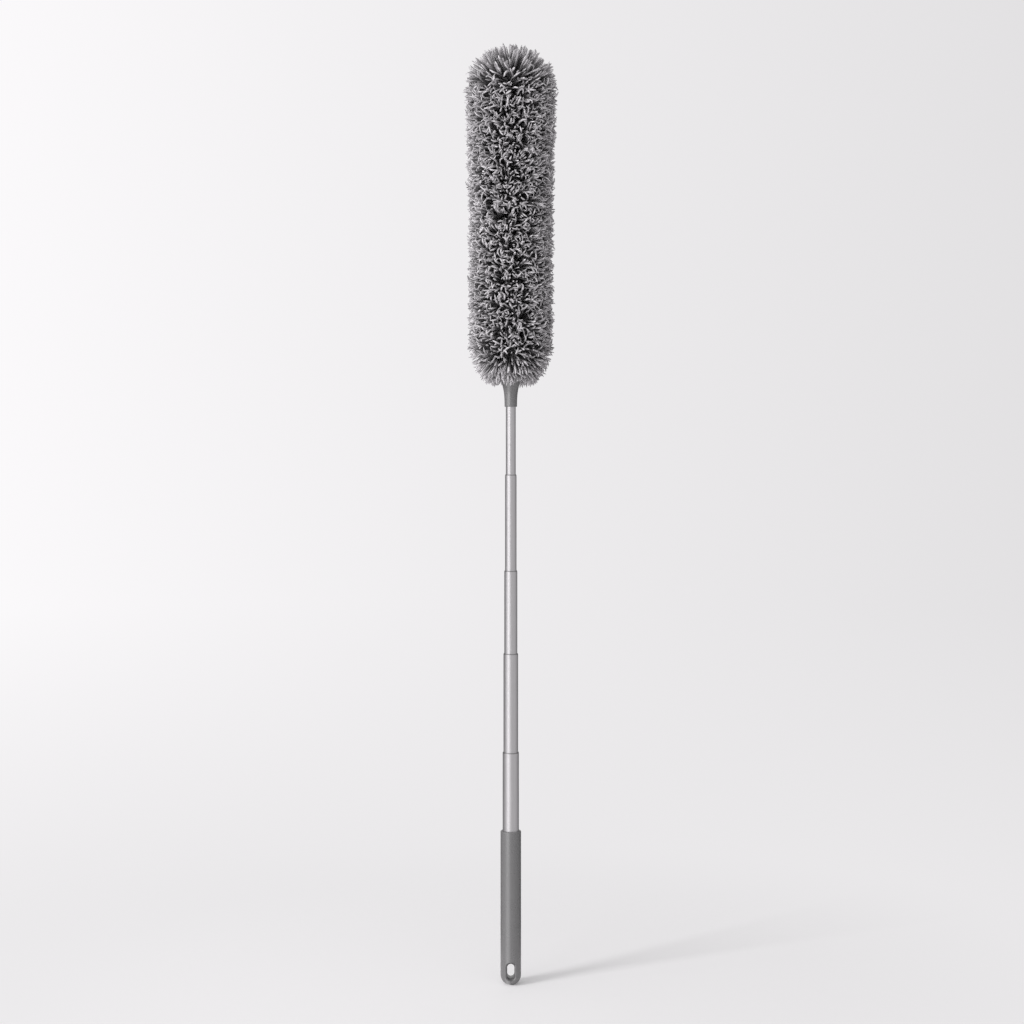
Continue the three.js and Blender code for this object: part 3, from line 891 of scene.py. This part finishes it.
knit_rows, entry, leave = new_group(
    "knit_rows",
    {"Row Height": ("Float", KNIT_ROW), "Columns": ("Float", KNIT_COLUMNS)},
    {"Stitch": "Float"},
)
spot = add(knit_rows, "TexCoord").outputs["Object"]
part = parts(knit_rows, spot)
turn = number(knit_rows, "ARCTAN2", part["Y"], part["X"])
leg = number(knit_rows, "SINE", number(knit_rows, "MULTIPLY", turn, entry["Columns"]))
row = number(knit_rows, "DIVIDE", part["Z"], entry["Row Height"])
slanted = number(knit_rows, "ADD", number(knit_rows, "MULTIPLY", row, 2 * math.pi), leg)
stitch = number(knit_rows, "MULTIPLY", number(knit_rows, "SINE", slanted), leg)
knit_rows.links.new(between(knit_rows, stitch, 0, 1, -1, 1), leave["Stitch"])


def knitted(name, dark, light, row_height, columns):
    made, tree, surface = new_material(name, Roughness=0.92)
    stitch = place(tree, knit_rows, {"Row Height": row_height, "Columns": columns})["Stitch"]
    tree.links.new(ramp(tree, stitch, (0.1, dark), (0.9, light)), surface.inputs["Base Color"])
    dented(tree, surface, stitch, KNIT_DEPTH)
    return made


knit_cloth = knitted("knit_cloth", grey(0.18, ROSY), grey(0.32, ROSY), KNIT_ROW, KNIT_COLUMNS)
woven_elastic = knitted("woven_elastic", grey(0.015), grey(0.05), row_height=0.7 * MM, columns=120)
print("cloths:", knit_cloth.name, woven_elastic.name)

# %% Backing
BACKING_WALL = 1.5 * MM
BACKING_STEPS = 176
COVER_PLAY = 0.3 * MM
HEM_HEIGHT = 7 * MM
HEM_RADIUS = 21.5 * MM
HEM_ROUND = 1.2 * MM
HEM_STEP = 0.2 * MM
GROOVE_RADIUS, GROOVE_LOW, GROOVE_HIGH = 20.2 * MM, 1.2 * MM, 5.8 * MM

hem_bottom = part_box("hem_elastic")[0].z - GROOVE_LOW - COVER_PLAY
hem_top = hem_bottom + HEM_HEIGHT
crown = cap_bottom
cavity = core_radius + COVER_PLAY
backing_radius = cavity + BACKING_WALL
outline = [(0, crown + cavity)] + list(reversed(arc(0, crown, cavity, 0, 90, steps=20)[:-1]))
outline += [(cavity, hem_bottom + GROOVE_HIGH), (GROOVE_RADIUS, hem_bottom + GROOVE_HIGH)]
outline += [(GROOVE_RADIUS, hem_bottom + GROOVE_LOW), (cavity, hem_bottom + GROOVE_LOW)]
outline += [(cavity, hem_bottom + HEM_ROUND / 3), (cavity + HEM_ROUND / 3, hem_bottom)]
outline += arc(HEM_RADIUS - HEM_ROUND, hem_bottom + HEM_ROUND, HEM_ROUND, 270, 360, steps=5)
outline += arc(HEM_RADIUS - HEM_ROUND, hem_top - HEM_ROUND, HEM_ROUND, 0, 90, steps=5)
outline += [(backing_radius, hem_top + HEM_STEP)]
outline += arc(0, crown, backing_radius, 0, 90, steps=24)[:-1] + [(0, crown + backing_radius)]
cloth = spun(outline, closed=False, steps=BACKING_STEPS)
print("cloth over a cavity of", round(cavity / MM, 1), "mm")

# %% Folds of the hem
HEM_FOLDS = 44
FOLD_DEPTH = 0.28 * MM
FOLDED_BEYOND = GROOVE_RADIUS + 0.5 * MM

for vert in cloth.verts:
    radius = math.hypot(vert.co.x, vert.co.y)
    if radius > FOLDED_BEYOND:
        fold = FOLD_DEPTH * math.sin(HEM_FOLDS * math.atan2(vert.co.y, vert.co.x))
        vert.co.x *= 1 + fold / radius
        vert.co.y *= 1 + fold / radius
backing = finished("knitted_backing", cloth)
carry(backing, "cover", "microfibre_pile", knit_cloth, "microfiber_cover")

# %% [markdown]
# ## The pile
# The cover is tufted all over with soft microfibre yarn. Hair particles would not survive as a mesh,
# so one short yarn is modelled with four sides and a closed tip, and thousands of bent copies of it
# are planted. The tufts follow a spiral of golden angles, which covers the tube and the dome evenly
# without rows. They stand straight out on the side, open like a brush on the dome and hang at the
# hem, where they are shorter.

# %% One yarn
YARN_SIDES = 4
YARN_STOPS = (0.35, 0.55, 0.675, 0.775, 0.875, 0.975)
TIP_SCALE = 0.55


def yarn_template():
    shape = bmesh.new()
    bmesh.ops.create_circle(shape, cap_ends=True, segments=YARN_SIDES, radius=1)
    moves = [(0, 0, stop - below) for below, stop in zip((0,) + YARN_STOPS, YARN_STOPS)]
    _, end = drawn_out(shape, shape.faces[:][0], moves)
    bmesh.ops.scale(shape, verts=end.verts[:], vec=(TIP_SCALE, TIP_SCALE, 1))
    point = bmesh.ops.poke(shape, faces=[end])["verts"][0]
    point.co.z = 1
    bmesh.ops.triangulate(shape, faces=shape.faces[:])
    bmesh.ops.recalc_face_normals(shape, faces=shape.faces)
    shape.verts.index_update()
    corners = np.array([vert.co[:] for vert in shape.verts])
    triangles = np.array([[vert.index for vert in face.verts] for face in shape.faces])
    shape.free()
    return corners, triangles


yarn_corners, yarn_triangles = yarn_template()
print("one yarn:", len(yarn_corners), "points,", len(yarn_triangles), "triangles")

# %% Where the tufts stand
TUFTS = 1300
HEM_CROWDING, CROWN_CROWDING = 0.50, -0.10
CROWDED_ZONE = 6
TURN_SCATTER = 0.05
ROOT_DEPTH = 0.6 * MM
GOLDEN_ANGLE = math.pi * (3 - math.sqrt(5))
chance = np.random.default_rng(41)

from_hem = (np.arange(TUFTS) + 0.5) / TUFTS
from_crown = 1 - from_hem
crowded = from_hem - HEM_CROWDING * from_hem * from_crown ** CROWDED_ZONE
crowded = crowded + CROWN_CROWDING * from_crown * from_hem ** CROWDED_ZONE
side_height = crown - hem_bottom
tuft_height = crowded * (side_height + backing_radius)
tuft_turn = np.arange(TUFTS) * GOLDEN_ANGLE + chance.normal(0, TURN_SCATTER, TUFTS)
round_x, round_y = np.cos(tuft_turn), np.sin(tuft_turn)
on_dome = np.clip((tuft_height - side_height) / backing_radius, 0, 1)
root_shell = backing_radius - ROOT_DEPTH
root_radius = root_shell * np.sqrt(1 - on_dome ** 2)
root_height = hem_bottom + np.minimum(tuft_height, side_height) + root_shell * on_dome
root = np.stack([root_radius * round_x, root_radius * round_y, root_height], axis=1)
print(TUFTS, "tufts over", round(side_height / MM), "mm of backing and its dome")

# %% Which way the tufts point
SKIRT_HEIGHT = 22 * MM
SKIRT_DROOP = math.radians(76)
TUFT_LEAN = 0.08
TIDY_ON_DOME = 0.5
FULL_FROM = 0.5


def unit(vectors):
    return vectors / np.linalg.norm(vectors, axis=1, keepdims=True)


droop = SKIRT_DROOP * np.clip(1 - tuft_height / SKIRT_HEIGHT, 0, 1)
rise = np.arcsin(on_dome) - droop
aim = np.stack([np.cos(rise) * round_x, np.cos(rise) * round_y, np.sin(rise)], axis=1)
on_top = np.minimum(1, on_dome / FULL_FROM)
hanging = np.minimum(1, droop / SKIRT_DROOP / FULL_FROM)
at_ends = np.maximum(on_top, hanging)
order = 1 - TIDY_ON_DOME * on_top[:, None]
tuft_aim = unit(aim + order * chance.normal(0, TUFT_LEAN, (TUFTS, 3)))
tuft_curl = unit(chance.normal(0, 1, (TUFTS, 3)))
print(np.count_nonzero(on_dome), "tufts on the dome,", np.count_nonzero(droop), "hanging at the hem")

# %% How long the pile is
PILE_AT_HEM, PILE_ABOVE_SKIRT = 24.5 * MM, 31.5 * MM
PILE_AT_CROWN, PILE_ON_TOP = 36.5 * MM, 33 * MM
SWELL_POWER, TOP_POWER = 3, 4

skirt = np.clip(tuft_height / SKIRT_HEIGHT, 0, 1)
swell = np.clip((tuft_height - SKIRT_HEIGHT) / (side_height - SKIRT_HEIGHT), 0, 1) ** SWELL_POWER
pile_length = PILE_AT_HEM + (PILE_ABOVE_SKIRT - PILE_AT_HEM) * skirt
pile_length = pile_length + (PILE_AT_CROWN - PILE_ABOVE_SKIRT) * swell
pile_length = pile_length + (PILE_ON_TOP - PILE_AT_CROWN) * on_dome ** TOP_POWER
print("pile up to", round(float(np.max(pile_length)) / MM, 1), "mm long")

# %% [markdown]
# ## Bending the yarns
# A tuft is six yarns that fan out from one stitch. On the side about half of them curl over, so that
# their light tips lie on the surface with dark gaps between them. On the dome and at the hem nearly
# all are straight. A curve for each yarn would be slow, so numpy walks all of them at once in short
# steps, shrinks those that outgrow their tuft, and pushes what would sink in clear of the core.

# %% Fanning the yarns of a tuft
YARNS_IN_TUFT = 6
TUFT_SPREAD = 3.0 * MM
YARN_FAN = 0.40

yarns = TUFTS * YARNS_IN_TUFT
of_tuft = np.repeat(np.arange(TUFTS), YARNS_IN_TUFT)
own_aim = aim[of_tuft]
beside_root = chance.normal(0, TUFT_SPREAD / 2, (yarns, 3))
beside_root -= own_aim * np.sum(beside_root * own_aim, axis=1, keepdims=True)
start = root[of_tuft] + beside_root
forward = unit(tuft_aim[of_tuft] + order[of_tuft] * chance.normal(0, YARN_FAN / 2, (yarns, 3)))
print(yarns, "yarns,", YARNS_IN_TUFT, "in a tuft")

# %% Curling the yarns
WITH_TUFT, ON_ITS_OWN = 0.5, 0.7
STRAIGHT_ON_SIDE, STRAIGHT_AT_ENDS = 0.48, 0.97
EASY_CURL, TIGHT_CURL = (4, 24), (50, 108)
EASY_POWER, TIGHT_POWER = 1.6, (2.6, 4.4)
MOST_TWIST = 2.6

curl_to = tuft_curl[of_tuft] * WITH_TUFT + chance.normal(0, ON_ITS_OWN, (yarns, 3))
curl_to = unit(curl_to - forward * np.sum(curl_to * forward, axis=1, keepdims=True))
sideways = np.cross(forward, curl_to)
straight_share = STRAIGHT_ON_SIDE + (STRAIGHT_AT_ENDS - STRAIGHT_ON_SIDE) * at_ends[of_tuft]
straight = chance.random(yarns) < straight_share
easy_curl = chance.uniform(*EASY_CURL, yarns)
tight_curl = chance.uniform(*TIGHT_CURL, yarns)
curl = np.radians(np.where(straight, easy_curl, tight_curl))
curl_power = np.where(straight, EASY_POWER, chance.uniform(*TIGHT_POWER, yarns))
twist = chance.uniform(-MOST_TWIST, MOST_TWIST, yarns)
print(np.count_nonzero(straight), "of them almost straight")

# %% Paths of the yarns
BEND_STEPS = 40
TUFT_LENGTHS, YARN_LENGTHS = (0.93, 1.03), (0.94, 1.02)
CURL_MAKEUP = 0.75
CLEAR_OF_CORE = 19.0 * MM


def yarn_frames(chosen, stations):
    bend = (curl[chosen, None] * stations ** curl_power[chosen, None])[:, :, None]
    wind = (twist[chosen, None] * stations ** 2)[:, :, None]
    ahead, bent_to, aside = forward[chosen, None], curl_to[chosen, None], sideways[chosen, None]
    outward = np.cos(wind) * bent_to + np.sin(wind) * aside
    tangent = np.cos(bend) * ahead + np.sin(bend) * outward
    across = np.cos(bend) * outward - np.sin(bend) * ahead
    return tangent, across, np.cross(tangent, across)


tangent, _, _ = yarn_frames(np.arange(yarns), (np.arange(BEND_STEPS) + 0.5) / BEND_STEPS)
reach = np.mean(np.sum(tangent * forward[:, None], axis=2), axis=1)
full_length = (pile_length * chance.uniform(*TUFT_LENGTHS, TUFTS))[of_tuft]
length = full_length * chance.uniform(*YARN_LENGTHS, yarns) / reach ** CURL_MAKEUP
path = np.cumsum(tangent, axis=1) * (length / BEND_STEPS)[:, None, None]
furthest = np.max(np.sum(path * own_aim[:, None, :], axis=2), axis=1)
path *= np.minimum(1, full_length / furthest)[:, None, None]
path = np.concatenate([np.zeros((yarns, 1, 3)), path], axis=1) + start[:, None, :]
around = np.hypot(path[:, :, 0], path[:, :, 1])
in_core = (path[:, :, 2] < crown) & (around < CLEAR_OF_CORE)
push = np.where(in_core, CLEAR_OF_CORE / np.maximum(around, MM), 1)
path[:, :, :2] *= push[:, :, None]
print("yarns reach", round(float(np.max(around)) / MM, 1), "mm from the axis")

# %% [markdown]
# ## Colouring and planting the yarns
# The yarns are coloured by two numbers that each point carries: how far along the yarn it lies, and
# a tone of its own for each yarn. The ramp takes the first from a grey root, through a dark middle,
# to a light tip. This is painted shade for the depth of the pile, where the yarns shade each other,
# and painted light on the tips, which reaches further down the yarns on the dome and at the hem.
# The second makes one yarn a little lighter than the next, as dyed microfibre is. Five bands of
# yarns keep each mesh small. Their map lays every point by its yarn's tone and by how far along it
# lies, so that all the yarns can share one small baked picture of their colours.

# %% Yarn colour
YARN_TONES = (0.6, 1.25)
FUZZ_SCALE = 3500
FUZZ_DEPTH = 0.15 * MM


def pile_yarn(name):
    made, tree, surface = new_material(name, Roughness=0.85)
    along = add(tree, "Attribute", attribute_name="along").outputs["Fac"]
    own_tone = add(tree, "Attribute", attribute_name="tone").outputs["Fac"]
    # Painted shade down the yarn into the pile, and painted light at its tip.
    painted_pile_shade = ramp(
        tree,
        along,
        (0.0, grey(0.24, ROSY)),
        (0.56, grey(0.14, ROSY)),
        (0.72, grey(0.29, ROSY)),
        (0.87, grey(0.63, ROSY)),
        (1.0, grey(0.63, ROSY)),
    )
    varied = between(tree, own_tone, *YARN_TONES, 0, 1)
    tree.links.new(vector(tree, "MULTIPLY", painted_pile_shade, varied), surface.inputs["Base Color"])
    spot = add(tree, "TexCoord").outputs["Object"]
    fuzz = add(tree, "TexNoise", {"Vector": spot, "Scale": FUZZ_SCALE, "Detail": 2}).outputs[0]
    dented(tree, surface, fuzz, FUZZ_DEPTH)
    return made


pile_material = pile_yarn("microfibre_pile")
print("yarn material:", pile_material.name)

# %% Thickness, points and map of the yarns
YARN_RADIUS = 0.95 * MM
THINNEST, THICKER = 0.8, 0.4
BOLDER_ON_DOME = 0.25
# How much further down the yarns the painted light reaches on the dome and at the hem.
LONGER_PAINTED_LIGHT = 0.36
YARN_ON_MAP = 0.01

yarn_tone = chance.random(yarns)
bold = (THINNEST + THICKER * yarn_tone) * (1 + BOLDER_ON_DOME * on_top[of_tuft])
yarn_radius = YARN_RADIUS * bold
painted_light_power = 1 - LONGER_PAINTED_LIGHT * at_ends[of_tuft]
corner_x, corner_y, corner_along = yarn_corners.T
nearest_step = np.rint(corner_along * BEND_STEPS).astype(int)


def yarn_points(chosen):
    _, across, beside = yarn_frames(chosen, corner_along)
    radius = yarn_radius[chosen, None, None]
    points = path[chosen][:, nearest_step, :]
    points = points + radius * corner_x[None, :, None] * across
    points = points + radius * corner_y[None, :, None] * beside
    return points.reshape(-1, 3)


def lay_on_map(mesh, tone, along, triangles):
    across_map = tone * (1 - 2 * YARN_ON_MAP) + YARN_ON_MAP
    across_map = across_map + YARN_ON_MAP * np.tile(corner_x, len(tone) // len(corner_x))
    on_map = np.stack([across_map, along], axis=1)[triangles.ravel()]
    mesh.uv_layers.new(name="OFBake").data.foreach_set("uv", on_map.ravel().astype(np.float32))


print("yarns", round(2 * float(np.mean(yarn_radius)) / MM, 2), "mm thick")

# %% Planting the yarns
BANDS = ("skirt", "lower", "middle", "upper", "crown")


def planted(name, chosen):
    offsets = np.arange(len(chosen))[:, None, None] * len(yarn_corners)
    triangles = (yarn_triangles[None, :, :] + offsets).reshape(-1, 3)
    mesh = bpy.data.meshes.new(name)
    mesh.from_pydata(yarn_points(chosen), [], triangles)
    along = (corner_along[None, :] ** painted_light_power[chosen, None]).ravel()
    tone = np.repeat(yarn_tone[chosen], len(yarn_corners))
    for label, numbers in (("along", along), ("tone", tone)):
        layer = mesh.attributes.new(label, "FLOAT", "POINT")
        layer.data.foreach_set("value", numbers.astype(np.float32))
    lay_on_map(mesh, tone, along, triangles)
    mesh.shade_smooth()
    piece = bpy.data.objects.new(name, mesh)
    scene.collection.objects.link(piece)
    return piece


for count, band in enumerate(BANDS):
    first = yarns * count // len(BANDS)
    last = yarns * (count + 1) // len(BANDS)
    piece = planted("pile_" + band, np.arange(first, last))
    carry(piece, "cover", "microfibre_pile", pile_material, "microfiber_cover")

# %% [markdown]
# ## Inner pieces
# The end plug, the friction shells, the spine and the hem's elastic are right as the CAD made them,
# so they stay and only take a finish. They show when the pole or the cover is taken apart.

# %% Finishes of the CAD nodes
INNER = {"tube_end_plug": inner_plastic, "core_spine": inner_plastic, "hem_elastic": woven_elastic}
for stage in ("second", "third", "fourth", "tip"):
    for side in ("front", "back"):
        INNER[f"{stage}_shell_{side}"] = shell_brass
for node, material in INNER.items():
    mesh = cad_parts[node].data
    mesh.materials.clear()
    mesh.materials.append(material)
print(len(INNER), "inner pieces finished")
